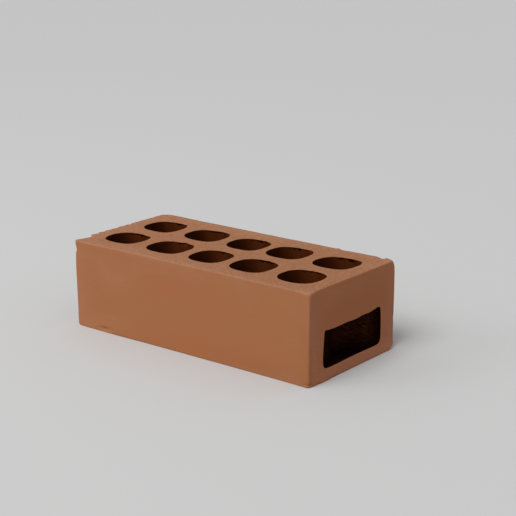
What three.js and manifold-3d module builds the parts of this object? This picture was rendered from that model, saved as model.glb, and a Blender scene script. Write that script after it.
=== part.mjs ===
// A perforated clay facing brick: one extruded, wire-cut and fired body.
// Millimetres, +Z up. It lies on its bed face, with its length along X and its
// origin at the middle of the bed face. The opened end face looks along +X.
import * as THREE from "three";
import { mergeVertices } from "three/addons/utils/BufferGeometryUtils.js";
import Module from "manifold-3d";

// The body
const LENGTH = 215; // stretcher length, along X
const WIDTH = 102.5; // header width, along Y
const HEIGHT = 65; // one course less its mortar joint, along Z
const ARRIS = 0.8; // rounding of the wire-cut edges and of the core mouths

// Rounding of the four upright edges, where the column left its die
const LEFT_FRONT_ROUND = 2.5; // -X, -Y
const RIGHT_FRONT_ROUND = 1.5; // +X, -Y
const RIGHT_BACK_ROUND = 2.5; // +X, +Y
const LEFT_BACK_ROUND = 6.5; // -X, +Y

// The cores: five columns in two rows, right through from bed to bed
const END_WALL = 11.6; // clay beyond the last column at each end
const SIDE_WALL = 15.4; // clay beyond each row, at the middle column
const ROW_WEB = 11.4; // clay between the two rows, at the middle column
const END_WEB = 10.2; // clay between an end column and the next
const MIDDLE_WEB = 7.8; // clay on each side of the middle column
const MIDDLE_CORE = 29.8; // length of a middle core, a little short of its neighbours
const SECOND_SWELL = 0.7; // how much wider the second cores are than the middle ones
const END_PINCH = 0.5; // how much narrower the end cores are than the middle ones
const CORE_DRIFT = 0.8; // the whole set of cores sits this far towards -X and -Y
const CORE_SQUARENESS = 3; // 2 is an ellipse, and larger is squarer
const CORE_SIDES = 36;

// The pocket in the +X end face, scooped out between the two end cores
const POCKET_BED = 8.5; // clay under its floor
const POCKET_HEIGHT = 26;
const POCKET_CHEEK = 16.8; // face left on each side of it, at its floor
const POCKET_LEAN = 1.3; // how far each side leans in by the top of the mouth
const POCKET_FLOOR_ROUND = 3.5;
const POCKET_ROOF_ROUND = 1.8;
const POCKET_PAST_WALL = 1.4; // how much deeper than the end wall it is mid-width
const POCKET_SHOULDER = 2.2; // half its depth is reached this far inside the core rows' centres
const POCKET_STEEPNESS = 4; // how squarely its back falls away towards the sides
const POCKET_STEPS = 28;

const CUT_CLEAR = 1; // how far a cutter stands out of the face that it opens

const wasm = await Module();
wasm.setup();

// A three.js geometry as a solid that can be cut.
function solid(geometry) {
  geometry.deleteAttribute("normal");
  geometry.deleteAttribute("uv");
  const merged = mergeVertices(geometry, 1e-4);
  return new wasm.Manifold(
    new wasm.Mesh({
      numProp: 3,
      vertProperties: merged.attributes.position.array,
      triVerts: new Uint32Array(merged.index.array),
    }),
  );
}

// A solid as a three.js geometry, with a flat normal on every face.
function geometryOf(body) {
  const { vertProperties, triVerts } = body.getMesh();
  const shared = new THREE.BufferGeometry();
  shared.setAttribute("position", new THREE.BufferAttribute(vertProperties, 3));
  shared.setIndex(new THREE.BufferAttribute(triVerts, 1));
  const faceted = shared.toNonIndexed();
  faceted.computeVertexNormals();
  return faceted;
}

// A closed outline through corners given as [x, y, rounding], with each corner rounded.
function roundedOutline(corners) {
  const outline = new THREE.Shape();
  corners.forEach(([x, y, round], i) => {
    const corner = new THREE.Vector2(x, y);
    const towards = (j) => new THREE.Vector2(...corners.at(j).slice(0, 2)).sub(corner).setLength(round);
    const start = corner.clone().add(towards(i - 1));
    const end = corner.clone().add(towards((i + 1) % corners.length));
    if (i === 0) outline.moveTo(start.x, start.y);
    else outline.lineTo(start.x, start.y);
    outline.quadraticCurveTo(corner.x, corner.y, end.x, end.y);
  });
  outline.closePath();
  return outline;
}

// The mouth of one core: a superellipse, drawn by its radius at each angle.
function coreOutline({ x, y, length, width }) {
  const points = Array.from({ length: CORE_SIDES }, (_, i) => {
    const angle = (2 * Math.PI * i) / CORE_SIDES;
    const across = Math.abs(Math.cos(angle) / (length / 2)) ** CORE_SQUARENESS;
    const along = Math.abs(Math.sin(angle) / (width / 2)) ** CORE_SQUARENESS;
    const radius = (across + along) ** (-1 / CORE_SQUARENESS);
    return new THREE.Vector2(x + radius * Math.cos(angle), y + radius * Math.sin(angle));
  });
  return new THREE.Path(points);
}

// Every core, from the walls and webs around it: what they leave is the core's own size.
const coreWidth = (WIDTH - ROW_WEB) / 2 - SIDE_WALL;
const coreLength = ((LENGTH - MIDDLE_CORE) / 2 - MIDDLE_WEB - END_WEB - END_WALL) / 2;
const rowY = (ROW_WEB + coreWidth) / 2;
const secondX = (MIDDLE_CORE + coreLength) / 2 + MIDDLE_WEB;
const endX = secondX + coreLength + END_WEB;
const columns = [
  { x: -endX, length: coreLength, width: coreWidth - END_PINCH },
  { x: -secondX, length: coreLength, width: coreWidth + SECOND_SWELL },
  { x: 0, length: MIDDLE_CORE, width: coreWidth },
  { x: secondX, length: coreLength, width: coreWidth + SECOND_SWELL },
  { x: endX, length: coreLength, width: coreWidth - END_PINCH },
];
const cores = [-rowY, rowY].flatMap((y) =>
  columns.map((column) => ({ ...column, x: column.x - CORE_DRIFT, y: y - CORE_DRIFT })),
);

// The body with its cores, as the die and the cutting wire leave it.
function extrudedBody() {
  const [x, y] = [LENGTH / 2, WIDTH / 2];
  const section = roundedOutline([
    [-x, -y, LEFT_FRONT_ROUND],
    [x, -y, RIGHT_FRONT_ROUND],
    [x, y, RIGHT_BACK_ROUND],
    [-x, y, LEFT_BACK_ROUND],
  ]);
  section.holes = cores.map(coreOutline);
  const geometry = new THREE.ExtrudeGeometry(section, {
    depth: HEIGHT - 2 * ARRIS,
    curveSegments: 6,
    bevelThickness: ARRIS,
    bevelSize: ARRIS,
    bevelOffset: -ARRIS,
    bevelSegments: 3,
  });
  return solid(geometry.translate(0, 0, ARRIS));
}

// The pocket is what its mouth, seen on the end face, and its plan have in common.
function pocket() {
  const half = WIDTH / 2 - POCKET_CHEEK;
  const deepest = END_WALL + POCKET_PAST_WALL;
  const shoulder = rowY - POCKET_SHOULDER;
  const roof = POCKET_BED + POCKET_HEIGHT;
  const mouth = roundedOutline([
    [-half, POCKET_BED, POCKET_FLOOR_ROUND],
    [half, POCKET_BED, POCKET_FLOOR_ROUND],
    [half - POCKET_LEAN, roof, POCKET_ROOF_ROUND],
    [POCKET_LEAN - half, roof, POCKET_ROOF_ROUND],
  ]);
  const reach = deepest + 2 * CUT_CLEAR;
  const mouthCutter = new THREE.ExtrudeGeometry(mouth, {
    depth: reach,
    curveSegments: 5,
    bevelEnabled: false,
  });
  const alongX = new THREE.Matrix4().makeBasis(
    new THREE.Vector3(0, 1, 0),
    new THREE.Vector3(0, 0, 1),
    new THREE.Vector3(1, 0, 0),
  );
  mouthCutter.applyMatrix4(alongX).translate(LENGTH / 2 + CUT_CLEAR - reach, 0, 0);

  const edge = half + CUT_CLEAR;
  const back = Array.from({ length: POCKET_STEPS + 1 }, (_, i) => {
    const y = edge - (2 * edge * i) / POCKET_STEPS;
    const depth = deepest / (1 + Math.abs(y / shoulder) ** POCKET_STEEPNESS);
    return new THREE.Vector2(LENGTH / 2 - depth, y);
  });
  const front = LENGTH / 2 + CUT_CLEAR;
  const plan = new THREE.Shape([
    new THREE.Vector2(front, -edge),
    new THREE.Vector2(front, edge),
    ...back,
  ]);
  const planCutter = new THREE.ExtrudeGeometry(plan, {
    depth: POCKET_HEIGHT + 2 * CUT_CLEAR,
    bevelEnabled: false,
  });
  planCutter.translate(0, 0, POCKET_BED - CUT_CLEAR);
  return solid(mouthCutter).intersect(solid(planCutter));
}

const firedClay = new THREE.MeshStandardMaterial({
  color: 0x9f6a48,
  roughness: 0.9,
  metalness: 0,
});

const brick = new THREE.Mesh(geometryOf(extrudedBody().subtract(pocket())), firedClay);
brick.name = "brick";

const group = new THREE.Group();
group.add(brick);

export default group;
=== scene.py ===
"""A perforated clay facing brick: its worn, wire-cut skin and its finish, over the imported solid.

Shapes are worked out in millimetres, in the solid's own frame: X along the length, Z up along
the cores, the pocket in the +X end. They become metres when the mesh is made.
"""

import math

import bpy
import numpy as np
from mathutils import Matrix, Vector, kdtree, noise
from mathutils.geometry import delaunay_2d_cdt


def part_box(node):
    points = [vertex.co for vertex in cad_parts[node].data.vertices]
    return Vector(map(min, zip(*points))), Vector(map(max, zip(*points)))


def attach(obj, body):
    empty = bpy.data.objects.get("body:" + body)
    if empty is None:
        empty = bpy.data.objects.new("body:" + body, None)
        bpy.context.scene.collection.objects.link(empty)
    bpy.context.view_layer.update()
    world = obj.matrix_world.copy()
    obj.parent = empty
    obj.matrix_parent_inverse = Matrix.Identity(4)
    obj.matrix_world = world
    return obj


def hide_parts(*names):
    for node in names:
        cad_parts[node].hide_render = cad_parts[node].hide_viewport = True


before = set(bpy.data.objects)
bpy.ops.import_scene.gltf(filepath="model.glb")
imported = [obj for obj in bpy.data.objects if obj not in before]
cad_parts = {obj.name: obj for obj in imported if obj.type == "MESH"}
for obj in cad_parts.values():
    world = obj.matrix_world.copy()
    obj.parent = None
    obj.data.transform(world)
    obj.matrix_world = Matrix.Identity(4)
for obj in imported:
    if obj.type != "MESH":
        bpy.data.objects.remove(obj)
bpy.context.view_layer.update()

MM = 0.001  # metres

# ---------------------------------------------------------------------------
# Sizes, in millimetres
# ---------------------------------------------------------------------------
low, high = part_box("brick")
LENGTH, WIDTH, HEIGHT = [(b - a) / MM for a, b in zip(low, high)]

# Cores: five columns in two rows, with the walls and webs that the solid has
END_WALL = 11.6
SIDE_WALL = 15.4
ROW_WEB = 11.4
END_WEB = 10.2
MIDDLE_WEB = 7.8
MIDDLE_CORE = 29.8
SECOND_SWELL = 0.7  # how much wider the second and fourth columns are
END_PINCH = 0.5  # and how much narrower the end ones
CORE_DRIFT = 0.8  # how far the whole set sits towards -X and -Y
CORE_WIDTH = (WIDTH - ROW_WEB) / 2 - SIDE_WALL
CORE_LENGTH = ((LENGTH - MIDDLE_CORE) / 2 - MIDDLE_WEB - END_WEB - END_WALL) / 2
ROW_MIDDLE = (ROW_WEB + CORE_WIDTH) / 2
CORE_SQUARENESS = 2.7
CORE_SQUARER = 0.36  # how much squarer they are on their +X side, and rounder on the other
CORE_SHAPES = (  # how each core came out: shift along X and Y, change of length and width, skew
    (-1.35, 0.0, -0.4, -0.65, -0.1),
    (-1.0, 0.25, 1.1, -0.4, -0.05),
    (0.2, -0.35, -0.4, -0.35, -0.2),
    (-0.35, 0.35, -0.25, 0.0, -0.05),
    (-0.45, -0.15, -0.25, 0.4, -0.15),
    (-1.15, 0.35, -0.55, -0.4, -0.15),
    (-0.75, 0.1, 1.65, -1.05, -0.3),
    (1.05, -0.2, 0.4, -0.5, -0.1),
    (-0.3, 0.1, 0.35, -1.2, 0.15),
    (-0.4, -0.1, 0.3, -0.65, 0.5),
)
CORE_SWELLS = (  # which cores, direction, degrees it spans, and how far out
    (range(10), 58, 44, 0.3),
    (range(10), 112, 40, -0.3),
    ((0,), 40, 26, 0.75),
    ((0,), 172, 26, 0.35),
    ((0,), 66, 22, -0.35),
    ((1,), 105, 24, -0.3),
    ((1,), 315, 24, 0.35),
    ((3,), 62, 28, -0.6),
    ((4,), 275, 34, 0.5),
    ((4,), 315, 24, -0.45),
    ((4,), 4, 30, 0.35),
    ((5, 6), 118, 26, -0.5),
    ((5,), 314, 24, 0.6),
    ((6,), 105, 16, -0.4),
    ((6,), 315, 16, 0.5),
    ((3,), 150, 14, 0.35),
    ((8,), 148, 18, 0.6),
)
RIM_CHIPS = (  # core, direction from its middle, degrees it spans, and how far out it goes
    (1, 82, 15, 1.1),
    (1, 53, 9, 0.6),
    (2, 60, 4, 0.3),
    (3, 62, 7, 0.8),
    (3, 84, 5, 0.6),
    (0, 50, 5, 0.5),
    (5, 52, 12, 0.9),
    (6, 55, 20, 0.5),
    (6, 76, 7, 0.8),
    (7, 70, 8, 0.6),
    (8, 53, 24, 0.65),
    (4, 92, 12, 0.3),
    (9, 44, 9, 0.6),
)

# The four upright edges, in the order in which the wall runs round them: the side of X and Y
# that each stands on, and its rounding as (height, radius) from the bed up
UPRIGHT_EDGES = (
    (-1, -1, (
        (0, 3.6), (4, 3.1), (8, 2.5), (20, 1.8), (36, 1.3), (45, 1.0), (56, 1.7), (65, 2.4),
    )),
    (1, -1, ((0, 2.6), (3, 1.4), (8, 1.0), (54, 1.0), (61, 1.7), (65, 3.0))),
    (1, 1, (
        (0, 3.8), (3, 1.8), (10, 1.2), (20, 1.0), (34, 0.65), (57, 0.5), (61, 1.2), (65, 4.4),
    )),
    (-1, 1, ((0, 6.0), (65, 5.6))),
)

# Arrises: the rounding where a bed meets a wall, and where wear has opened it
UPPER_ARRIS = 0.3
LOWER_ARRIS = 0.7
LEAST_ARRIS = 0.15
ARRIS_WANDER = 0.13  # how much it varies along the edge
ARRIS_LUMPS = 7.0  # over what length
ARRIS_NICKS = 2.2  # and over what length half as much again
UPPER_WEAR = (  # x, y, how much larger the arris is there, and how far round it reaches
    (107.5, -51.25, 0.9, 4.0),
    (107.5, -44.0, 0.5, 18.0),
    (107.5, -14.0, 0.4, 22.0),
    (107.5, 20.0, 0.4, 22.0),
    (107.5, 51.25, 1.0, 4.0),
    (98.5, 51.25, 0.8, 1.8),
    (-95.0, -51.25, 0.35, 18.0),
    (-107.5, 0.0, 0.2, 60.0),
    (0.0, 51.25, 0.15, 90.0),
)
LOWER_WEAR = (
    (107.5, 51.25, 3.5, 3.4),
    (-107.5, -51.25, 0.8, 4.0),
    (-107.5, 51.25, 1.2, 6.0),
    (107.5, -51.25, 0.4, 4.0),
)

# The torn lip that the cutting wire left along the top of the plain end:
# from where, how far it reaches there, and how far it has drawn back by the next tear
LIP_TEARS = (
    (-51.0, 0.7, 0.2),
    (-45.0, -0.2, -1.2),
    (-34.4, -0.9, 0.9),
    (-32.4, 2.2, 1.1),
    (-24.2, 2.6, 1.0),
    (-17.6, 2.4, 1.3),
    (-11.2, 2.0, 1.2),
    (-2.6, 2.3, 1.2),
    (4.0, 1.6, 1.8),
    (8.4, 0.8, 0.9),
    (10.6, 2.0, 1.6),
    (15.8, 2.2, 1.4),
    (20.0, 2.0, 1.6),
    (30.0, 1.9, 1.7),
    (38.0, 2.1, 1.3),
    (47.6, 1.1, 0.8),
)
TEAR_GAP = 0.7  # how far it takes to step out from one tear to the next
LIP_OUT = 0.75  # share of that reach that goes outwards
LIP_UP = 0.24  # and upwards
LIP_DEPTH = 2.4  # how far down the wall and in over the bed it carries

# Single knocks and lumps: centre, radii, and which way and how far the surface goes
KNOCKS = (
    ((-107.0, -50.8, 58.0), (2.0, 2.0, 1.3), (0.5, 0.55, 0.0)),
    ((-107.5, -51.25, 61.9), (2.4, 2.4, 1.6), (-0.35, 0.1, 0.0)),
    ((-106.8, -51.0, 60.2), (2.4, 2.4, 1.1), (0.25, 0.15, 0.0)),
    ((-78.2, -51.25, 2.4), (4.2, 2.0, 1.2), (0.0, 1.3, 0.3)),
    ((-76.0, -51.25, 0.8), (3.2, 2.0, 0.9), (0.0, -0.25, 0.0)),
    ((106.6, -50.4, 1.6), (2.8, 2.6, 0.8), (-0.6, 0.65, 0.0)),
    ((106.4, -51.0, 0.3), (3.2, 3.2, 1.1), (0.45, -0.6, 0.0)),
    ((107.5, -40.6, 0.3), (2.0, 1.2, 1.2), (-0.4, 0.0, 0.35)),
    ((107.5, -24.0, 0.2), (2.0, 2.2, 1.0), (-0.25, 0.0, 0.3)),
    ((59.3, 51.25, 65.0), (1.6, 1.8, 1.6), (0.0, 0.25, 0.42)),
    ((64.5, 51.25, 65.0), (3.2, 1.8, 1.6), (0.0, -0.2, -0.22)),
    ((97.4, 51.25, 65.0), (2.2, 2.4, 2.0), (0.0, -0.3, -0.75)),
    ((101.3, 51.0, 65.0), (2.3, 2.0, 1.8), (0.0, 0.2, 0.5)),
    ((107.5, 51.25, 22.8), (1.6, 1.6, 1.6), (-0.25, -0.25, 0.0)),
    # slow ones: the pocket end leans in at its top, and both faces spread or draw in at their feet
    ((107.5, -8.0, 66.0), (7.0, 46.0, 15.0), (-0.85, 0.0, 0.0)),
    ((107.5, -34.0, 66.0), (7.0, 15.0, 10.0), (-0.8, 0.0, 0.0)),
    ((107.5, -51.25, 20.0), (8.0, 8.0, 24.0), (-0.25, 0.0, 0.0)),
    ((107.5, -51.25, 61.0), (6.0, 6.0, 8.0), (0.35, 0.0, 0.0)),
    ((107.5, -50.0, 0.0), (3.2, 4.0, 2.5), (-0.4, 0.1, 0.4)),
    ((107.5, -36.0, 0.0), (8.0, 10.0, 7.0), (0.75, 0.0, 0.0)),
    ((107.5, -6.0, 0.0), (8.0, 28.0, 12.0), (0.75, 0.0, 0.0)),
    ((107.5, 36.0, 0.0), (8.0, 26.0, 6.0), (1.15, 0.0, 0.0)),
    ((107.5, 46.0, 0.0), (6.0, 7.0, 4.0), (0.55, 0.0, 0.0)),
    ((107.5, 52.0, 0.0), (6.0, 5.0, 2.8), (0.0, -1.0, 2.4)),
    ((-75.0, -51.25, 0.0), (32.0, 8.0, 12.0), (0.0, -1.05, 0.0)),
    ((-97.0, 51.25, 65.0), (13.0, 6.0, 14.0), (0.0, 0.6, 0.0)),
    ((66.0, -51.25, 0.0), (42.0, 8.0, 8.0), (0.0, 0.65, 0.0)),
    # the edges of the bed rise and sink a little, and two more places lean
    ((-50.0, -54.0, 65.0), (130.0, 12.0, 8.0), (0.0, 0.0, 0.65)),
    ((-90.0, -51.25, 65.0), (20.0, 6.0, 5.0), (0.0, 0.0, -0.25)),
    ((71.0, 51.25, 65.0), (16.0, 8.0, 8.0), (0.0, 0.0, -0.18)),
    ((107.5, 18.0, 66.0), (7.0, 12.0, 8.0), (0.3, 0.0, 0.0)),
    ((-98.0, -51.25, 0.0), (10.0, 6.0, 5.0), (0.0, -0.5, 0.0)),
)

# Where the clay has fired paler or redder, and where light and shade are painted in as tone:
#  centre, radii, and how much paler, or redder if negative
TONES_AND_PAINTED_LIGHT = (
    # painted light: paler towards the -X end, as a lamp from that side would make it
    ((-107.5, 0.0, 40.0), (55.0, 90.0, 60.0), 0.25),
    ((-66.0, -51.25, 44.0), (20.0, 8.0, 11.0), 0.5),
    ((-103.0, -51.25, 8.0), (12.0, 8.0, 14.0), 0.1),
    ((4.0, -51.25, 48.0), (42.0, 8.0, 8.0), -0.4),
    ((-14.0, -51.25, 46.0), (9.0, 8.0, 4.0), -0.2),
    ((-5.0, -51.25, 1.0), (72.0, 8.0, 13.0), -0.75),
    ((40.0, -51.25, 16.0), (50.0, 8.0, 10.0), -0.2),
    ((107.5, 0.0, 40.0), (6.0, 34.0, 18.0), -0.25),
    # painted light: paler along the foot of the pocket end, against the shade there near the floor
    ((107.5, 4.0, 3.0), (6.0, 60.0, 7.0), 0.8),
    ((107.5, -47.0, 3.0), (6.0, 9.0, 6.0), -0.6),
    ((108.0, -49.0, 32.0), (5.0, 6.0, 27.0), 0.6),
    ((107.5, 46.0, 25.0), (6.0, 9.0, 40.0), 0.4),
    # painted shade: the front darker where it turns away from the light near the pocket end
    ((105.4, -51.25, 24.0), (4.6, 3.0, 30.0), -0.7),
    ((5.0, -51.25, 57.0), (30.0, 8.0, 6.0), 0.2),
    ((100.0, 36.0, 65.0), (16.0, 20.0, 5.0), 0.35),
    ((-60.0, -42.0, 65.0), (26.0, 8.0, 4.0), 0.35),
    ((-20.0, 42.0, 65.0), (24.0, 9.0, 4.0), 0.25),
    # painted shade: the upper bed darker along the pocket end's arris
    ((106.0, -5.0, 65.0), (6.0, 40.0, 3.0), -0.4),
    ((103.0, -45.0, 65.0), (8.0, 9.0, 2.0), 0.35),
    # painted shade: the upper bed darker towards the pocket end
    ((75.0, -10.0, 65.0), (50.0, 80.0, 6.0), -0.4),
    ((-10.0, -50.5, 65.2), (90.0, 3.5, 1.0), 0.5),
    ((-65.0, -51.25, 61.5), (45.0, 8.0, 3.5), -0.55),
)
EDGE_PALENESS = 0.5  # how much paler every face is along its edges
EDGE_REACH = 11.0  # how far in from them that goes
EDGE_FALL = 1.5  # and how steeply it ends
CLOUDS = 0.25  # how much the tone wanders from cloud to cloud
CLOUD_SIZE = 22.0
ROSY_END = 0.9  # how much of the rosier cast the pocket end has
ROSY_PLACES = (105.5, 107.3)  # the places along X over which that sets in
SHADED_PLACES = (  # where the outer faces are painted a little darker as shade: centre, radii, and how much
    ((107.5, -4.0, 46.0), (6.0, 36.0, 13.0), 0.055),
    ((104.5, -51.25, 12.0), (6.0, 3.0, 26.0), 0.045),
)

# Unevenness all over: how far the clay has moved, and the size of the lumps
SLOW_BOW = (0.22, 55.0)
DENTS = (0.07, 11.0)
FINE_SAND = (0.05, 2.2)
COARSE_SAND = (0.06, 5.0)

# Heights at which the kinds of wear read the noise, apart so that they don't follow each other
SEED = 11.0
LOWER_MOUTH_SEED = SEED + 30
LOWER_ARRIS_SEED = SEED + 40
POCKET_RIM_SEED = SEED + 60
SHADE_SEED = SEED + 80
BACK_LUMP_SEED = SEED + 5

DRIFT_SEED = 2
noise.seed_set(DRIFT_SEED)  # without this, drift() differs from run to run

# ---------------------------------------------------------------------------
# Small helpers
# ---------------------------------------------------------------------------


def smooth(start, stop, value):
    """An S-curve from 0 at start to 1 at stop, whichever is the higher, and flat past them."""
    t = np.clip((value - start) / (stop - start), 0.0, 1.0)
    return t * t * (3.0 - 2.0 * t)


def grain(points, size, octaves=3):
    """Smooth noise from about -1 to 1 at each point, with lumps of about that size.

    Each octave is half as large and half as strong as the one before.
    """
    return np.array([
        noise.fractal(Vector(p) / size, 1.0, 2.0, octaves) for p in points
    ])


def drift(points, size):
    """A smooth noise vector at each point."""
    return np.array([noise.noise_vector(Vector(p) / size) for p in points])


def raised(plan, height):
    """2D points as 3D ones, all at one height."""
    return np.c_[plan, np.full(len(plan), height)]


def spots(points, table):
    """What a table of spots, each a centre, its radii and an amount, adds at each point."""
    total = 0.0
    for centre, radii, amount in table:
        near = np.exp(-(((points - centre) / radii) ** 2).sum(axis=1))
        total = total + np.multiply.outer(near, amount)
    return total


def lobe(degrees, direction, span, power):
    """1 in one direction, falling away on both sides of it over a span of degrees."""
    away = (degrees - direction + 180) % 360 - 180
    return np.exp(-((away / (span / 2)) ** power))


def quarter_round(rows):
    """The rows of a unit rounding, from the wall that it leaves to the face that it meets.

    Each is how far it has gone over, how far it lies under the face, and how much of it is done.
    """
    turn = np.linspace(0, math.pi / 2, rows)
    return [(1 - math.cos(a), 1 - math.sin(a), a / (math.pi / 2)) for a in turn]


def outward(loop):
    """Unit normals of a closed anticlockwise loop, pointing out of it."""
    along = np.roll(loop, -1, axis=0) - np.roll(loop, 1, axis=0)
    normals = np.stack([along[:, 1], -along[:, 0]], axis=1)
    return normals / np.linalg.norm(normals, axis=1)[:, None]


def inside(points, loops):
    """Which 2D points lie inside the first loop and outside the others."""
    crossings = np.zeros(len(points), int)
    for loop in loops:
        x0, y0 = loop.T
        x1, y1 = np.roll(loop, -1, axis=0).T
        for xa, ya, xb, yb in zip(x0, y0, x1, y1):
            spans = (ya > points[:, 1]) != (yb > points[:, 1])
            if ya != yb:
                at = xa + (points[:, 1] - ya) * (xb - xa) / (yb - ya)
                crossings += spans & (points[:, 0] < at)
    return crossings % 2 == 1


FILL_JITTER = 0.12  # how far the points of a flat region stray, as a share of their pitch
FILL_STRAY = 1.7  # over how many pitches that changes
FILL_CLEARANCE = 0.6  # how many pitches they keep from its edges
MERGE = 1e-6  # points nearer than this are one


def scattered(loops, pitch):
    """2D points spread over the region between closed loops."""
    edge = np.concatenate(loops)
    near = kdtree.KDTree(len(edge))
    for i, (u, v) in enumerate(edge):
        near.insert((u, v, 0.0), i)
    near.balance()
    start, stop = edge.min(axis=0), edge.max(axis=0)
    rows = np.arange(start[1], stop[1], pitch * math.sqrt(3) / 2)
    points = np.array([
        (u + (pitch / 2 if j % 2 else 0.0), v)
        for j, v in enumerate(rows)
        for u in np.arange(start[0], stop[0], pitch)
    ])
    points += FILL_JITTER * pitch * drift(raised(points, SEED), pitch * FILL_STRAY)[:, :2]
    points = points[inside(points, loops)]
    clear = [near.find((u, v, 0.0))[2] > FILL_CLEARANCE * pitch for u, v in points]
    return points[np.array(clear)]


def triangles_between(loops, points):
    """Anticlockwise triangles over the region between closed loops, through points spread over it.

    Their corners are numbered along the loops first, and then through the points.
    """
    edges = []
    first = 0
    for loop in loops:
        count = len(loop)
        edges += [(first + i, first + (i + 1) % count) for i in range(count)]
        first += count
    corners = [Vector(p) for p in np.concatenate([*loops, points])]
    made = delaunay_2d_cdt(corners, edges, [], 0, MERGE)
    at = np.array([tuple(p) for p in made[0]])
    source = np.array([ids[0] for ids in made[3]])
    triangles = np.array(made[2])
    triangles = triangles[inside(at[triangles].mean(axis=1), loops)]
    a, b, c = (at[triangles[:, i]] for i in range(3))
    turn = (b[:, 0] - a[:, 0]) * (c[:, 1] - a[:, 1]) - (b[:, 1] - a[:, 1]) * (c[:, 0] - a[:, 0])
    triangles[turn < 0] = triangles[turn < 0][:, ::-1]
    return source[triangles]


class Skin:
    """The surface as it is gathered: points, faces, and what each point belongs to.

    bed is 1 on the wire-cut faces, hollow is 1 inside the cores and the pocket, which are painted
    dark there as shade, the painted shade mark is 1 where that shade is blackest, and torn is 1 on
    the back of the pocket.
    """

    def __init__(self):
        self.points = []
        self.faces = []
        self.marks = {"bed": [], "hollow": [], "soot": [], "torn": []}

    def add(self, points, **marks):
        """Adds points and returns their numbers, in the shape that they came in."""
        shape = points.shape[:-1]
        start = len(self.points)
        self.points.extend(points.reshape(-1, 3))
        for name, values in self.marks.items():
            values.extend(np.broadcast_to(marks.get(name, 0.0), shape).reshape(-1))
        return np.arange(start, len(self.points)).reshape(shape)

    def sheet(self, grid, skip=None):
        """Quads between the rows of a grid whose columns run round and close up."""
        following = np.roll(grid, -1, axis=1)
        quads = np.stack([grid[:-1], following[:-1], following[1:], grid[1:]], axis=-1)
        keep = np.ones(quads.shape[:2], bool)
        if skip is not None:
            keep[skip] = False
        self.faces.extend(quads[keep].tolist())

    def fill(self, loops, axes, pitch, place, flip=False, **marks):
        """Triangles over a flat region between closed loops of points that are already there.

        axes are the two coordinates that it is laid out in, and place makes 3D points of the
        new 2D ones. Marks are numbers, or functions of those 2D points.
        """
        at = np.array(self.points)
        flat = [at[loop][:, axes] for loop in loops]
        plan = scattered(flat, pitch)
        marks = {name: value(plan) if callable(value) else value for name, value in marks.items()}
        number = np.concatenate([*loops, self.add(place(plan), **marks)])
        faces = number[triangles_between(flat, plan)]
        self.faces.extend((faces[:, ::-1] if flip else faces).tolist())


# ---------------------------------------------------------------------------
# The outer wall, with both arrises
# ---------------------------------------------------------------------------
SIDES = (  # length, and pitch of the wall's columns along it
    (LENGTH, 1.15),
    (WIDTH, 0.95),
    (LENGTH, 1.3),
    (WIDTH, 0.75),
)
POCKET_SIDE = 1
CORNER_STEPS = 7
WALL_ROWS = 40
EVENNESS = 0.3  # how evenly those rows are spread: at 0 they crowd towards the arrises
ARRIS_ROWS = 5
SANDY_TURN = (0.1, 0.75)  # shares of an arris's turn over which it becomes bed
CORNER_ROOM = 0.9  # share of a corner's radius that an arris may take up
ROOM_GAIN = 0.7  # how quickly it may grow away from the corner


def upright_radii(heights):
    """The radius of each upright edge at the given heights."""
    return [np.interp(heights, *zip(*rounding)) for _, _, rounding in UPRIGHT_EDGES]


def wall_columns():
    """One entry for each column of the wall: its side or corner, and how far along that it is."""
    columns = []
    for side, (length, pitch) in enumerate(SIDES):
        steps = round(length / pitch)
        columns += [(side, i / steps, False) for i in range(steps + 1)]
        columns += [(side + 1, i / CORNER_STEPS, True) for i in range(1, CORNER_STEPS)]
    return columns


def wall_at(columns, heights):
    """Plan points and outward normals of the wall, for each column at its own height."""
    radii = upright_radii(heights)
    centres = [
        (side_x * (LENGTH / 2 - r), side_y * (WIDTH / 2 - r))
        for r, (side_x, side_y, _) in zip(radii, UPRIGHT_EDGES)
    ]
    points = np.zeros((*heights.shape, 2))
    normals = np.zeros_like(points)
    for i, (place, share, is_corner) in enumerate(columns):
        facing = math.radians(90 * (place - 1))
        if is_corner:
            facing -= math.radians(90) * (1 - share)
        normal = np.array([math.cos(facing), math.sin(facing)])
        here, there = [
            np.stack([c[..., i] for c in centres[k]], axis=-1) + normal * radii[k][..., i, None]
            for k in (place % 4, (place + 1) % 4)
        ]
        if not is_corner:
            here = here + (there - here) * share
        points[..., i, :] = here
        normals[..., i, :] = normal
    return points, normals


def corner_room(columns, plan, height):
    """The most that an arris can reach in at each column without folding a corner over itself."""
    radii = upright_radii(height)
    ends = [here for (_, share, _), here in zip(columns, plan) if share in (0.0, 1.0)]
    room = []
    for (place, _, is_corner), here in zip(columns, plan):
        if is_corner:
            room.append(CORNER_ROOM * radii[place % 4])
        else:
            off = min(math.dist(end, here) for end in ends)
            room.append(CORNER_ROOM * min(radii) + off * ROOM_GAIN)
    return np.array(room)


def arris_at(plan, base, worn, seed, room):
    """How large an arris is at each plan point."""
    where = raised(plan, seed)
    size = base + ARRIS_WANDER * (grain(where, ARRIS_LUMPS) + 0.5 * grain(where, ARRIS_NICKS))
    for x, y, more, reach in worn:
        size += more * np.exp(-(((plan[:, 0] - x) ** 2 + (plan[:, 1] - y) ** 2) / reach**2))
    return np.clip(size, LEAST_ARRIS, room)


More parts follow.
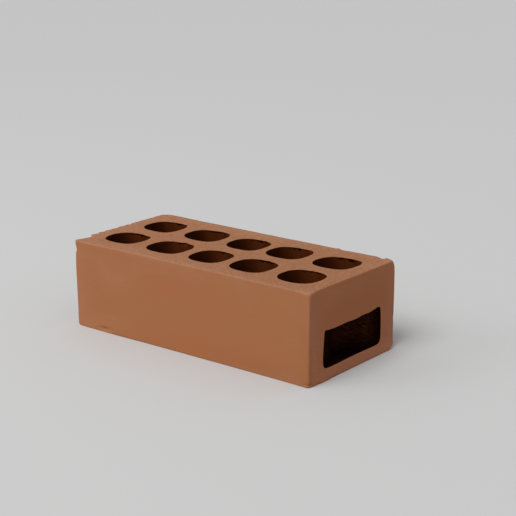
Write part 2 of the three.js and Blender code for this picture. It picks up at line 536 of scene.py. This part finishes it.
def make_wall(skin):
    """The wall and its two arrises. Returns its grid, its columns, and its plain rows' numbers."""
    columns = wall_columns()
    plan = wall_at(columns, np.full((1, len(columns)), HEIGHT / 2))[0][0]
    upper_room, lower_room = (corner_room(columns, plan, height) for height in (HEIGHT, 0.0))
    upper = arris_at(plan, UPPER_ARRIS, UPPER_WEAR, SEED, upper_room)
    lower = arris_at(plan, LOWER_ARRIS, LOWER_WEAR, LOWER_ARRIS_SEED, lower_room)

    share = np.linspace(0, 1, WALL_ROWS)
    share = EVENNESS * share + (1 - EVENNESS) * (1 - np.cos(np.pi * share)) / 2
    arris = [
        (over, under, smooth(*SANDY_TURN, done))
        for over, under, done in quarter_round(ARRIS_ROWS)[1:]
    ]
    rows = [(lower * under, lower * over, sandy) for over, under, sandy in arris[::-1]]
    rows += [(lower + (HEIGHT - lower - upper) * t, 0 * lower, 0.0) for t in share]
    rows += [(HEIGHT - upper * under, upper * over, sandy) for over, under, sandy in arris]
    heights, insets, bed = (np.array(part) for part in zip(*rows))
    points, normals = wall_at(columns, heights)
    points = points - normals * insets[..., None]
    grid = skin.add(
        np.concatenate([points, heights[..., None]], axis=-1),
        bed=bed[:, None],
    )
    return grid, columns, range(len(arris), len(arris) + WALL_ROWS)


# ---------------------------------------------------------------------------
# The cores
# ---------------------------------------------------------------------------
CORE_POINTS = 88
ROUND_CORE = np.linspace(0, 2 * np.pi, CORE_POINTS, endpoint=False)
CORE_LEVELS = (  # how far down the rows of a core's wall lie, below the rounding of its rim
    0.25, 0.6, 1.0, 1.5, 2.2, 3.2, 4.6, 6.5, 9.0, 12.0, 16.0, 21.0, 27.0, 34.0, 42.0, 50.0,
    56.0, 60.0, 62.0, 63.2, 63.9,
)
MOUTH_ROWS = 4
MOUTH_ROUND = 0.16
MOUTH_UNEVEN = 0.5  # share by which that varies
MOUTH_LUMPS = 5.0
CRUMBLE = 0.35  # how far a rim crumbles on the side where the wire ran out over it
CRUMBLE_EVEN, CRUMBLE_VARIED = 0.3, 1.6  # how much of that is everywhere, and how much by crumbs
CRUMB_SIZE = 1.8
CHIP_DEPTH = 1.3  # how far down the core crumbs and chips carry
WIRE_SIDEWAYS = 0.3  # the wire ran out towards +Y, and this much towards +X
TRAILING = (-0.3, 0.7)  # how far a rim has to face that way to be torn by it
CUT_ENDS = (0.15, 0.0)  # depths below a bed over which its sandy face ends
HOLLOW_SHADE_STARTS = (0.0, 0.13)  # and over which the dark shade painted into a hollow sets in

# A ragged shadow painted under a rim, on the side where the wire tore it
SHADE_DEPTH = 0.8
SHADE_RAGGED = 2.2  # how much that varies
SHADE_LUMPS = 2.6
SHADE_REACH = 0.7  # share of that by which it goes further down
SHADE_STARTS = (0.0, 0.12)  # depths over which it sets in
SHADE_FADES = (1.1, 0.5)  # and, counted from there, over which it fades
SHADE_ENDS = (0.75, 0.15)  # places along the core over which it ends towards +X
SHADE_THINS = (-0.6, -0.1)  # and over which it thins towards -X
SHADE_THIN = 0.6  # down to this share

# How dark the core walls are painted as shade: by the way that they face along the brick, and
# further down
WALL_SHADE = 0.52
FACING_SHADE = (  # facings along X from which and up to which it grows, and how much by
    (0.35, -0.9, 1.0),
    (-0.05, 0.12, 0.5),
    (0.3, 1.0, 0.5),
)
DEEP_SHADE = 0.15
DEEP_STARTS = (8.0, 30.0)


def core_layout():
    """Centre, size and skew of every core."""
    second = (MIDDLE_CORE + CORE_LENGTH) / 2 + MIDDLE_WEB
    end = second + CORE_LENGTH + END_WEB
    columns = (
        (-end, CORE_LENGTH, CORE_WIDTH - END_PINCH),
        (-second, CORE_LENGTH, CORE_WIDTH + SECOND_SWELL),
        (0.0, MIDDLE_CORE, CORE_WIDTH),
        (second, CORE_LENGTH, CORE_WIDTH + SECOND_SWELL),
        (end, CORE_LENGTH, CORE_WIDTH - END_PINCH),
    )
    plan = [(x, y, long, wide) for y in (-ROW_MIDDLE, ROW_MIDDLE) for x, long, wide in columns]
    return [
        (x - CORE_DRIFT + east, y - CORE_DRIFT + north, long + longer, wide + wider, skew)
        for (x, y, long, wide), (east, north, longer, wider, skew) in zip(plan, CORE_SHAPES)
    ]


def core_outline(index, x, y, length, width, skew):
    """The outline of one core: a squared oval with its own swells."""
    power = CORE_SQUARENESS + CORE_SQUARER * np.cos(ROUND_CORE)
    reach = (
        np.abs(np.cos(ROUND_CORE) / (length / 2)) ** power
        + np.abs(np.sin(ROUND_CORE) / (width / 2)) ** power
    ) ** (-1 / power)
    reach = reach + skew * np.sin(2 * ROUND_CORE)
    for cores, direction, span, far in CORE_SWELLS:
        if index in cores:
            reach = reach + far * lobe(np.degrees(ROUND_CORE), direction, span, 2)
    return np.stack([x + reach * np.cos(ROUND_CORE), y + reach * np.sin(ROUND_CORE)], axis=1)


def mouth_rounding(outline, seed):
    """The rounding of a core's mouth at each place round it."""
    return MOUTH_ROUND * (1 + MOUTH_UNEVEN * grain(raised(outline, seed), MOUTH_LUMPS))


def crumbled(outline, trailing, seed, chips=()):
    """How far a rim has crumbled away at each place round it, with its larger chips."""
    crumbs = CRUMBLE_EVEN + CRUMBLE_VARIED * grain(raised(outline, seed), CRUMB_SIZE)
    lost = CRUMBLE * trailing * np.maximum(0.0, crumbs)
    for direction, span, far in chips:
        lost = lost + far * lobe(np.degrees(ROUND_CORE), direction, span, 4)
    return lost


def core_painted_shade(outline, out, along, trailing, below):
    """How dark a core's wall is painted as shade; along runs from -1 to 1 over the core's length.
    """
    ragged = SHADE_DEPTH + SHADE_RAGGED * grain(raised(outline, SHADE_SEED), SHADE_LUMPS)
    past = below - SHADE_REACH * ragged
    shade = trailing * smooth(*SHADE_STARTS, below) * smooth(*SHADE_FADES, past)
    thinned = SHADE_THIN + (1 - SHADE_THIN) * smooth(*SHADE_THINS, along)
    shade = shade * smooth(*SHADE_ENDS, along) * thinned
    sheltered = sum(much * smooth(start, stop, out[:, 0]) for start, stop, much in FACING_SHADE)
    walls = WALL_SHADE * sheltered + DEEP_SHADE * smooth(*DEEP_STARTS, below)
    return np.maximum(shade, walls)


def make_core(skin, index, x, y, length, width, skew):
    """One core, from its upper mouth to its lower one. Returns the two loops on the beds."""
    outline = core_outline(index, x, y, length, width, skew)
    out = outward(outline)
    trailing = smooth(*TRAILING, out[:, 1] + WIRE_SIDEWAYS * out[:, 0])
    chips = [chip for core, *chip in RIM_CHIPS if core == index]
    upper, lower = mouth_rounding(outline, SEED), mouth_rounding(outline, LOWER_MOUTH_SEED)
    upper_lost = crumbled(outline, trailing, SEED, chips)
    lower_lost = crumbled(outline, trailing, LOWER_MOUTH_SEED)

    mouth = quarter_round(MOUTH_ROWS)
    plain = HEIGHT - upper - lower
    rows = [(upper * under, upper * over) for over, under, _ in mouth[::-1]]
    rows += [(upper + plain * level / HEIGHT, 0 * upper) for level in CORE_LEVELS]
    rows += [(HEIGHT - lower * under, lower * over) for over, under, _ in mouth]
    depth, wide = (np.array(part) for part in zip(*rows))
    wide += upper_lost * np.exp(-((depth / CHIP_DEPTH) ** 2))
    wide += lower_lost * np.exp(-(((HEIGHT - depth) / CHIP_DEPTH) ** 2))
    below = np.minimum(depth, HEIGHT - depth)
    numbers = skin.add(
        np.concatenate([outline + out * wide[..., None], (HEIGHT - depth)[..., None]], axis=-1),
        bed=smooth(*CUT_ENDS, below),
        hollow=smooth(*HOLLOW_SHADE_STARTS, below),
        soot=core_painted_shade(outline, out, (outline[:, 0] - x) / (length / 2), trailing, below),
    )
    skin.sheet(numbers)
    return numbers[0], numbers[-1]


# ---------------------------------------------------------------------------
# The pocket in the end face
# ---------------------------------------------------------------------------
POCKET_PAST_WALL = 1.4  # how far it goes in past the end wall's thickness at the cores
POCKET_SHOULDER = 2.2  # how far short of the end cores' middles it has half its depth
POCKET_STEEPNESS = 4.0
POCKET_OUTLINE = (  # corners of its mouth, as y, z and rounding
    (-35.3, 9.0, 4.4),
    (34.3, 8.4, 4.9),
    (33.6, 35.9, 3.4),
    (-33.7, 35.9, 2.0),
)
POCKET_ROOF = (  # y, and how far the roof hangs below a straight line from corner to corner
    (-34.0, 0.1), (-28.0, 0.95), (-20.0, 1.3), (-7.0, 1.15), (1.0, 1.7), (6.0, 1.65),
    (12.0, 1.25), (20.0, 1.45), (25.0, 0.9), (29.0, 0.3), (33.5, 0.0),
)
ROOF_HEIGHTS = (22.0, 34.0)  # heights over which its edge counts as roof
FLOOR_HEIGHTS = (16.0, 9.0)  # and as floor
FLOOR_WAVER = 0.2  # how far its lower edge wavers
FLOOR_WAVE = 7.5  # and over what length
FLOOR_WAVE_START = 1.6
CHEEK_FOOT, CHEEK_HEIGHT = 9.0, 26.0
CHEEK_BULGE = 0.4  # how far its cheeks swell out half-way up
CHEEK_WIDTHS = (0.9, 1.0)  # shares of its half width over which they do
POCKET_PITCH = 0.8
POCKET_CORNER_POINTS = 7
POCKET_ROWS = 12
POCKET_RIM = 0.22
POCKET_RIM_UNEVEN = 0.35  # share by which that varies
POCKET_RIM_LUMPS = 4.0
POCKET_TAPER = 0.02  # how much narrower it gets for each millimetre that it goes in
POCKET_LEAST_DEPTH = 0.3  # past the rounding of its rim
BACK_PITCH = 0.62
BACK_RIDGES = (0.35, 16.0, 1.4)  # how far its torn ridges stand, their length and their breadth
BACK_LUMPS = (0.4, 12.0, 9.0)  # and the same for its lumps
BACK_STARTS = (0.8, 4.0)  # depths of the pocket over which they set in
STREAK_FALL = 0.50  # how steeply its torn streaks fall towards +Y
STREAK_TURN = 10.0  # the place across it where they begin to level out
STREAK_BEND = 0.0065  # and how quickly they do

# How dark the pocket is painted as shade: its back is lighter in the upper middle and a little at
# the upper left
BACK_SHADE = 0.965
UPPER_MIDDLE_LESS_SHADE = 0.17
UPPER_LEFT_LESS_SHADE = 0.04
LOWER_LEFT_MORE_SHADE = 0.022
POCKET_WALL_SHADE = 0.885  # on its floor, its roof and its cheeks
POCKET_WALL_MORE_SHADE = 0.095  # and more towards +Y
RIGHT_CHEEK_LESS_SHADE = 0.015
RIGHT_CHEEK_TORN = 0.9
CHEEK_TEARS_START = (0.4, 1.4)  # depths over which the tears on that cheek set in


def pocket_depth(y):
    """How deep the pocket is at a place across it: full depth at its middle, then a slope."""
    shoulder = ROW_MIDDLE - POCKET_SHOULDER
    return (END_WALL + POCKET_PAST_WALL) / (1 + np.abs(y / shoulder) ** POCKET_STEEPNESS)


def pocket_mouth():
    """The loop of the pocket's mouth on the end face, anticlockwise as y, z."""
    corners = np.array([(y, z) for y, z, _ in POCKET_OUTLINE])
    radii = [radius for _, _, radius in POCKET_OUTLINE]
    loop = []
    for i, (corner, radius) in enumerate(zip(corners, radii)):
        following = corners[(i + 1) % 4]
        before, after = corners[i - 1] - corner, following - corner
        start = corner + before / np.linalg.norm(before) * radius
        end = corner + after / np.linalg.norm(after) * radius
        for t in np.linspace(0, 1, POCKET_CORNER_POINTS):
            loop.append((1 - t) ** 2 * start + 2 * t * (1 - t) * corner + t * t * end)
        stop = following - after / np.linalg.norm(after) * radii[(i + 1) % 4]
        steps = round(np.linalg.norm(stop - end) / POCKET_PITCH)
        loop += [end + (stop - end) * t for t in np.linspace(0, 1, steps + 1)[1:-1]]
    loop = np.array(loop)
    y, z = loop.T  # both follow the loop as it changes
    across = y / corners[1][0]
    z -= smooth(*ROOF_HEIGHTS, z) * np.interp(y, *zip(*POCKET_ROOF))
    z += FLOOR_WAVER * smooth(*FLOOR_HEIGHTS, z) * np.sin(y / FLOOR_WAVE + FLOOR_WAVE_START)
    swell = np.sin(np.clip((z - CHEEK_FOOT) / CHEEK_HEIGHT, 0, 1) * math.pi)
    y += CHEEK_BULGE * np.sign(across) * swell * smooth(*CHEEK_WIDTHS, np.abs(across))
    return loop


def torn_back(plane):
    """Points of the pocket's torn back over y, z: streaks that fall towards +Y and level out."""
    y, z = plane.T
    fall = z + STREAK_FALL * y - STREAK_BEND * np.maximum(y - STREAK_TURN, 0.0) ** 2
    far, long, broad = BACK_RIDGES
    ridges = far * grain(raised(np.c_[y / long, fall / broad], SEED), 1.0, 2)
    far, long, broad = BACK_LUMPS
    lumps = far * grain(raised(np.c_[y / long, z / broad], BACK_LUMP_SEED), 1.0, 2)
    depth = pocket_depth(y)
    return np.c_[LENGTH / 2 - depth + (ridges + lumps) * smooth(*BACK_STARTS, depth), y, z]


def back_painted_shade(plane):
    """How dark the pocket's back is painted as shade at each place on it."""
    y, z = plane.T
    upper_middle = smooth(-24.0, 8.0, y) * smooth(5.0, 22.0, z) * smooth(31.0, 22.5, y)
    upper_left = smooth(-16.0, -30.0, y) * smooth(10.0, 20.0, z)
    lower_left = smooth(-20.0, -27.0, y) * smooth(19.0, 12.0, z)
    soot = BACK_SHADE - UPPER_MIDDLE_LESS_SHADE * upper_middle - UPPER_LEFT_LESS_SHADE * upper_left
    return soot + LOWER_LEFT_MORE_SHADE * lower_left


def make_pocket(skin):
    """The pocket's rim, floor, roof, cheeks and torn back. Returns the loop on the end face."""
    mouth = pocket_mouth()
    y, z = mouth.T
    out = outward(mouth)
    uneven = grain(raised(mouth, POCKET_RIM_SEED), POCKET_RIM_LUMPS)
    rim = POCKET_RIM * (1 + POCKET_RIM_UNEVEN * uneven)
    depth = pocket_depth(y)
    back_edge = LENGTH / 2 - torn_back(mouth)[:, 0]
    back_edge = np.maximum(back_edge, rim + POCKET_LEAST_DEPTH)
    rows = [(rim * over, rim * under) for over, under, _ in quarter_round(MOUTH_ROWS)[::-1]]
    for t in np.linspace(0, 1, POCKET_ROWS)[1:]:
        rows.append((-POCKET_TAPER * depth * t, rim + (back_edge - rim) * t))
    grid = np.array([
        np.c_[LENGTH / 2 - deep, mouth + out * wide[:, None]] for wide, deep in rows
    ])
    deep = LENGTH / 2 - grid[..., 0]
    # the floor, roof and cheeks are painted dark as shade, more towards +Y and a little less on the
    # right cheek
    right_cheek = smooth(26.0, 33.0, y) * smooth(11.0, 16.0, z)
    more_shade = POCKET_WALL_MORE_SHADE * smooth(-22.0, 5.0, y)
    soot = POCKET_WALL_SHADE + more_shade - RIGHT_CHEEK_LESS_SHADE * right_cheek
    torn = RIGHT_CHEEK_TORN * right_cheek * smooth(*CHEEK_TEARS_START, deep)
    numbers = skin.add(grid, hollow=smooth(*HOLLOW_SHADE_STARTS, deep), soot=soot, torn=torn)
    skin.sheet(numbers)
    skin.fill(
        [numbers[-1]], (1, 2), BACK_PITCH, torn_back, hollow=1.0, soot=back_painted_shade, torn=1.0
    )
    return numbers[0]


# ---------------------------------------------------------------------------
# The end face and the two beds
# ---------------------------------------------------------------------------
END_PITCH = 1.2
END_MARGIN = 1.0  # the least width of the ring that is filled round the pocket's mouth
UPPER_PITCH = 1.2
LOWER_PITCH = 2.0


def close_end(skin, grid, columns, wall_rows, mouth):
    """Lays the wall's sheet, and fills the end face between it and the pocket's mouth."""
    at = np.array(skin.points)
    on_end = [
        i for i, (side, _, is_corner) in enumerate(columns) if side == POCKET_SIDE and not is_corner
    ]
    y = at[grid[wall_rows[0]][on_end]][:, 1]
    z = at[grid][:, on_end, 2]
    (left, foot), (right, top) = at[mouth][:, 1:].min(0), at[mouth][:, 1:].max(0)
    first = max(i for i, value in zip(on_end, y) if value < left - END_MARGIN)
    last = min(i for i, value in zip(on_end, y) if value > right + END_MARGIN)
    lowest = max(r for r in wall_rows if z[r].max() < foot - END_MARGIN)
    highest = min(r for r in wall_rows if z[r].min() > top + END_MARGIN)
    loop = [grid[lowest, i] for i in range(first, last)]
    loop += [grid[r, last] for r in range(lowest, highest)]
    loop += [grid[highest, i] for i in range(last, first, -1)]
    loop += [grid[r, first] for r in range(highest, lowest, -1)]
    skin.sheet(grid, skip=(slice(lowest, highest), slice(first, last)))

    def on_face(plane):
        return np.c_[np.full(len(plane), LENGTH / 2), plane]

    skin.fill([np.array(loop), mouth], (1, 2), END_PITCH, on_face)


def close_beds(skin, grid, cores):
    """Fills the upper and the lower bed round the mouths of the cores."""
    upper = [grid[-1], *[loop for loop, _ in cores]]
    lower = [grid[0], *[loop for _, loop in cores]]
    skin.fill(upper, (0, 1), UPPER_PITCH, lambda plan: raised(plan, HEIGHT), bed=1.0)
    skin.fill(lower, (0, 1), LOWER_PITCH, lambda plan: raised(plan, 0.0), flip=True, bed=1.0)


# ---------------------------------------------------------------------------
# Wear and unevenness
# ---------------------------------------------------------------------------


def lip_reach(y):
    """How far the torn lip reaches at each place along the plain end."""
    starts = [start for start, _, _ in LIP_TEARS] + [WIDTH / 2]
    along, reach = [], []
    for (start, rise, fall), following in zip(LIP_TEARS, starts[1:]):
        along += [start, following - TEAR_GAP]
        reach += [rise, fall]
    return np.interp(y, along, reach)


def toned(points, hollow):
    """How pale (up to 1) or how red (down to -1) the clay is at each point: its fired tone, with
    painted light and shade added in.
    """
    reach = np.array([LENGTH, WIDTH, HEIGHT]) / 2
    middle = np.array([0.0, 0.0, HEIGHT / 2])
    inwards = np.sort(reach - np.abs(points - middle), axis=1)[:, 1].clip(0.0)
    tone = EDGE_PALENESS * np.exp(-((inwards / EDGE_REACH) ** EDGE_FALL))
    tone = tone + CLOUDS * grain(points, CLOUD_SIZE)
    return (tone + spots(points, TONES_AND_PAINTED_LIGHT)) * (1 - hollow)


def weathered(points, bed, hollow):
    """The points after firing, cutting and handling have moved them."""
    moved = points.copy()
    x, y, z = points.T
    (bow, bow_size), (dent, dent_size) = SLOW_BOW, DENTS
    moved += bow * drift(points + SEED, bow_size) + dent * drift(points - SEED, dent_size)
    (fine, fine_size), (coarse, coarse_size) = FINE_SAND, COARSE_SAND
    sand = fine * grain(points + 3 * SEED, fine_size)
    sand = sand + coarse * grain(points - 2 * SEED, coarse_size)
    facing = np.where(z > HEIGHT / 2, 1.0, -1.0)
    moved[:, 2] += bed * (1 - hollow) * facing * sand

    off_top = HEIGHT - z
    off_end = x + LENGTH / 2
    near = np.exp(-((off_top / LIP_DEPTH) ** 2) - ((off_end / LIP_DEPTH) ** 2))
    reach = lip_reach(y)
    moved[:, 0] -= near * LIP_OUT * reach
    moved[:, 2] += near * LIP_UP * reach

    moved += spots(points, KNOCKS)
    moved[:, 2] = moved[:, 2].clip(0.0)  # the floor holds it up
    return moved


def make_brick():
    """The whole brick as one closed mesh, which carries its marks for the finish."""
    skin = Skin()
    grid, columns, wall_rows = make_wall(skin)
    cores = [make_core(skin, index, *core) for index, core in enumerate(core_layout())]
    mouth = make_pocket(skin)
    close_end(skin, grid, columns, wall_rows, mouth)
    close_beds(skin, grid, cores)

    marks = {name: np.array(values, float) for name, values in skin.marks.items()}
    points = weathered(np.array(skin.points), marks["bed"], marks["hollow"])
    marks["tone"] = toned(points, marks["hollow"])
    # a few places on the outer faces are painted a little towards the hollows' dark colour, as
    # shade
    marks["hollow"] = np.maximum(marks["hollow"], spots(points, SHADED_PLACES))
    marks["rosy"] = ROSY_END * smooth(*ROSY_PLACES, points[:, 0])
    mesh = bpy.data.meshes.new("brick_body")
    mesh.from_pydata((points * MM).tolist(), [], skin.faces)
    for name, values in marks.items():
        mesh.attributes.new(name, "FLOAT", "POINT").data.foreach_set("value", values)
    mesh.validate()
    mesh.shade_smooth()
    body = bpy.data.objects.new("brick_body", mesh)
    bpy.context.scene.collection.objects.link(body)
    return body


# ---------------------------------------------------------------------------
# Finishes
# ---------------------------------------------------------------------------


def linear(red, green, blue):
    """An 8-bit display colour as linear RGBA."""
    parts = [c / 255 for c in (red, green, blue)]
    return (*[c / 12.92 if c <= 0.04045 else ((c + 0.055) / 1.055) ** 2.4 for c in parts], 1.0)


class Wire:
    """A shader socket that adds Math nodes when it is used in an expression."""

    def __init__(self, finish, socket):
        self.finish = finish
        self.socket = socket

    def maths(self, operation, *values):
        return self.finish.node("ShaderNodeMath", {"operation": operation}, dict(enumerate(values)))

    def __add__(self, other):
        return self.maths("ADD", self, other)

    def __sub__(self, other):
        return self.maths("SUBTRACT", self, other)

    def __rsub__(self, other):
        return self.maths("SUBTRACT", other, self)

    def __mul__(self, other):
        return self.maths("MULTIPLY", self, other)

    def at_least(self, least):
        return self.maths("MAXIMUM", self, least)

    __radd__ = __add__
    __rmul__ = __mul__


class Finish:
    """A node material, or the world, that is written as expressions."""

    def __init__(self, owner):
        owner.use_nodes = True
        self.tree = owner.node_tree
        self.tree.nodes.clear()

    def node(self, kind, settings=None, values=None, output=0):
        """Adds a node, sets it up, feeds its sockets and returns one of its outputs.

        Sockets go by name, or by number where several share one.
        """
        made = self.tree.nodes.new(kind)
        for name, value in (settings or {}).items():
            setattr(made, name, value)
        for name, value in (values or {}).items():
            if isinstance(value, Wire):
                self.tree.links.new(value.socket, made.inputs[name])
            else:
                made.inputs[name].default_value = value
        return Wire(self, made.outputs[output]) if made.outputs else None

    def mix(self, share, first, second, blend="MIX"):
        """Two colours mixed. A share below 0 or above 1 counts as 0 or 1."""
        settings = {"data_type": "RGBA", "blend_type": blend}
        return self.node("ShaderNodeMix", settings, {0: share, 6: first, 7: second}, 2)

    def between(self, value, start, stop):
        """An S-curve from 0 at start to 1 at stop, whichever is the higher, and flat past them."""
        settings = {"interpolation_type": "SMOOTHSTEP"}
        values = {"Value": value, "From Min": start, "From Max": stop}
        return self.node("ShaderNodeMapRange", settings, values)

    def speckled(self, under, value, specks, over):
        """One colour with specks of another over it, by where a noise lies."""
        start, stop, strength = specks
        return self.mix(self.between(value, start, stop) * strength, under, over)

    def fired(self, tone, plain, pale, deep):
        """A colour that turns paler where the tone is above 0, and deeper where it is below."""
        paler = self.mix(tone, plain, pale)
        return self.mix(tone * -1.0, paler, deep)

    def noise(self, where, size_mm, detail, roughness, stretch=(1, 1, 1)):
        """Noise from 0 to 1 with lumps of about that many millimetres.

        Where the stretch is below 1, they are drawn out along that axis.
        """
        shaped = self.node(
            "ShaderNodeVectorMath",
            {"operation": "MULTIPLY"},
            {0: where, 1: tuple(s / (size_mm * MM) for s in stretch)},
        )
        values = {"Vector": shaped, "Scale": 1.0, "Detail": detail, "Roughness": roughness}
        return self.node("ShaderNodeTexNoise", {}, values)

    def mark(self, name):
        """One of the marks that the mesh carries on its points."""
        return self.node("ShaderNodeAttribute", {"attribute_name": name}, output="Fac")


DIE_FACE = linear(157.6, 104.3, 70.3)
DIE_FACE_RED = linear(165, 101, 66)
DIE_FACE_PALE = linear(163, 110, 81)
ROSY = (0.985, 0.953, 1.045, 1.0)
WIRE_CUT = linear(154, 107, 78)
WIRE_CUT_PALE = linear(165, 118, 92)
WIRE_CUT_DULL = linear(147, 102, 75)
SAND_LIGHT = linear(174, 132, 108)
SAND_DARK = linear(132, 84, 60)
# dark colours painted into the cores and the pocket as their shade
HOLLOW_SHADE_COLOUR = linear(83, 38.5, 15.5)
TORN_SHADE_COLOUR = linear(88, 47, 28)
PAINTED_SHADE_BLACK = linear(11, 2, 0)
LIME_FLECK = linear(186, 150, 120)

# The grains and streaks of the clay: size in millimetres, detail, roughness, and stretch
SAND = (1.7, 3.0, 0.75)
DUST = (4.5, 4.0, 0.6)
FLECKS = (1.6, 1.0, 0.4)
TEARS = (0.68, 3.0, 0.55)
DIE_STREAKS = (2.4, 3.0, 0.6, (0.22, 0.22, 1.0))
SCUFFS = (1.1, 2.0, 0.6, (1.0, 0.3, 1.0))
DRAG = (1.4, 2.0, 0.6, (1.0, 1.0, 0.06))

# Specks of another colour: where the noise has them begin, where they are whole, and how strong
LIGHT_GRAINS = (0.52, 0.72, 0.55)
DARK_GRAINS = (0.47, 0.3, 0.85)
DUSTING = (0.45, 0.75, 0.25)
LIME = (0.83, 0.88, 0.5)

DIE_STREAK_STRENGTH = 0.7
SCUFF_STRENGTH = 4.2
SCUFFED_HEIGHTS = (42 * MM, 20 * MM)  # down the pocket end, over which the scuffs set in
TEAR_LENGTH = 0.035  # how slowly the tears change along their run
TEAR_SHORTER = 0.15  # and how much more quickly once they level out
TEAR_EDGES = (0.36, 0.64)
TEAR_STRENGTH = 1.7
ROUGHNESS = 0.85
BED_ROUGHER = 0.1
RELIEF_STRENGTH = 0.3
RELIEF_DEPTH = 0.5 * MM
SAND_RELIEF = 0.12
BED_SAND_RELIEF = 0.6  # more, on the beds
DUST_RELIEF = 0.3
DRAG_RELIEF = 0.6


def fired_clay():
    """Fired clay: smooth where it slid through the die, sandy where the wire cut it."""
    material = bpy.data.materials.new("fired_clay")
    clay = Finish(material)
    where = clay.node("ShaderNodeTexCoord", output="Object")
    bed, hollow, soot, torn, tone, end = [
        clay.mark(name) for name in ("bed", "hollow", "soot", "torn", "tone", "rosy")
    ]
    sand = clay.noise(where, *SAND)
    dust = clay.noise(where, *DUST)
    flecks = clay.noise(where, *FLECKS)

    # the tears on the pocket's back, along the same lines as its ridges
    y, z = (clay.node("ShaderNodeSeparateXYZ", {}, {0: where}, axis) for axis in "YZ")
    beyond = (y - STREAK_TURN * MM).at_least(0.0)
    fall = z + y * STREAK_FALL - beyond * beyond * (STREAK_BEND / MM)
    run = y * TEAR_LENGTH + beyond * TEAR_SHORTER
    along = clay.node("ShaderNodeCombineXYZ", {}, {"Y": run, "Z": fall})
    tears = clay.noise(along, *TEARS)

    streaks = clay.noise(where, *DIE_STREAKS) - 0.5
    scuffs = clay.noise(where, *SCUFFS) - 0.5
    low_end = end * clay.between(z, *SCUFFED_HEIGHTS)
    worked = tone + streaks * DIE_STREAK_STRENGTH + low_end * scuffs * SCUFF_STRENGTH
    face = clay.fired(worked, DIE_FACE, DIE_FACE_PALE, DIE_FACE_RED)
    face = clay.mix(end, face, ROSY, "MULTIPLY")
    cut = clay.fired(tone, WIRE_CUT, WIRE_CUT_PALE, WIRE_CUT_DULL)
    cut = clay.speckled(cut, sand, LIGHT_GRAINS, SAND_LIGHT)
    cut = clay.speckled(cut, sand, DARK_GRAINS, SAND_DARK)
    cut = clay.speckled(cut, dust, DUSTING, SAND_LIGHT)
    colour = clay.mix(bed, face, cut)
    colour = clay.speckled(colour, flecks, LIME, LIME_FLECK)
    # inside the cores and the pocket the colour is painted dark as their shade, near black where
    # the painted shade mark is high; the tears streak it
    unshaded = 1.0 - soot
    opened = clay.between(tears, *TEAR_EDGES) * TEAR_STRENGTH - TEAR_STRENGTH / 2
    unshaded = unshaded * (1.0 + torn * opened)
    skin = clay.mix(unshaded, PAINTED_SHADE_BLACK, clay.mix(torn, HOLLOW_SHADE_COLOUR, TORN_SHADE_COLOUR))
    colour = clay.mix(hollow, colour, skin)

    drag = clay.noise(where, *DRAG)
    relief = sand * (SAND_RELIEF + BED_SAND_RELIEF * bed) + dust * DUST_RELIEF
    relief = relief + drag * hollow * (1 - torn) * DRAG_RELIEF
    bump = clay.node(
        "ShaderNodeBump",
        {},
        {"Strength": RELIEF_STRENGTH, "Distance": RELIEF_DEPTH, "Height": relief},
    )
    surface = clay.node(
        "ShaderNodeBsdfPrincipled",
        {},
        {
            "Base Color": colour,
            "Roughness": ROUGHNESS + BED_ROUGHER * bed,
            "Specular IOR Level": 0.0,
            "Normal": bump,
        },
    )
    clay.node("ShaderNodeOutputMaterial", {}, {"Surface": surface})
    return material


FLOOR_GREY = (0.56, 0.56, 0.56, 1.0)


def pale_floor():
    """The plain pale floor that the brick lies on."""
    material = bpy.data.materials.new("pale_floor")
    paint = Finish(material)
    surface = paint.node(
        "ShaderNodeBsdfPrincipled",
        {},
        {"Base Color": FLOOR_GREY, "Roughness": 0.8, "Specular IOR Level": 0.1},
    )
    paint.node("ShaderNodeOutputMaterial", {}, {"Surface": surface})
    return material


# ---------------------------------------------------------------------------
# The brick, the floor, the light and the camera, in metres
# ---------------------------------------------------------------------------
brick = make_brick()
brick.data.materials.append(fired_clay())
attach(brick, "root")
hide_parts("brick")

FLOOR_SIZE = 16.0
floor_mesh = bpy.data.meshes.new("floor")
half = FLOOR_SIZE / 2
floor_mesh.from_pydata(
    [(-half, -half, 0), (half, -half, 0), (half, half, 0), (-half, half, 0)], [], [(0, 1, 2, 3)]
)
floor = bpy.data.objects.new("floor", floor_mesh)
bpy.context.scene.collection.objects.link(floor)
floor_mesh.materials.append(pale_floor())

LIT_POINT = (0.0, 0.0, 0.03)  # the middle of the brick
FILL = 0.49  # strength of the light from all round
BACKDROP = 0.14  # how much brighter than that the walls look


def light(name, kind, position, power, **settings):
    """A lamp that looks from its position to the middle of the brick."""
    lamp = bpy.data.lights.new(name, kind)
    lamp.energy = power
    for setting, value in settings.items():
        setattr(lamp, setting, value)
    placed = bpy.data.objects.new(name, lamp)
    placed.location = position
    aim = Vector(LIT_POINT) - placed.location
    placed.rotation_euler = aim.to_track_quat("-Z", "Y").to_euler()
    bpy.context.scene.collection.objects.link(placed)


light("key", "SUN", position=(-0.02, -1.5, 2.1), power=1.93, angle=0.6)
light("side", "AREA", position=(-0.75, -0.95, 0.8), power=3.1, size=0.6)

world = bpy.data.worlds.new("studio")
bpy.context.scene.world = world
room = Finish(world)
is_seen = room.node("ShaderNodeLightPath", output="Is Camera Ray")
walls = {"Color": (1.0, 1.0, 1.0, 1.0), "Strength": FILL + is_seen * BACKDROP}
room.node("ShaderNodeOutputWorld", {}, {"Surface": room.node("ShaderNodeBackground", {}, walls)})

camera = bpy.data.cameras.new("camera")
camera.lens = 91.7
camera.sensor_width = 36.0
eye = bpy.data.objects.new("camera", camera)
eye.location = (0.57939, -0.70623, 0.32027)
eye.rotation_euler = (math.radians(74.04), 0.0, math.radians(38.13))
bpy.context.scene.collection.objects.link(eye)
bpy.context.scene.camera = eye
bpy.context.scene.view_settings.view_transform = "Standard"
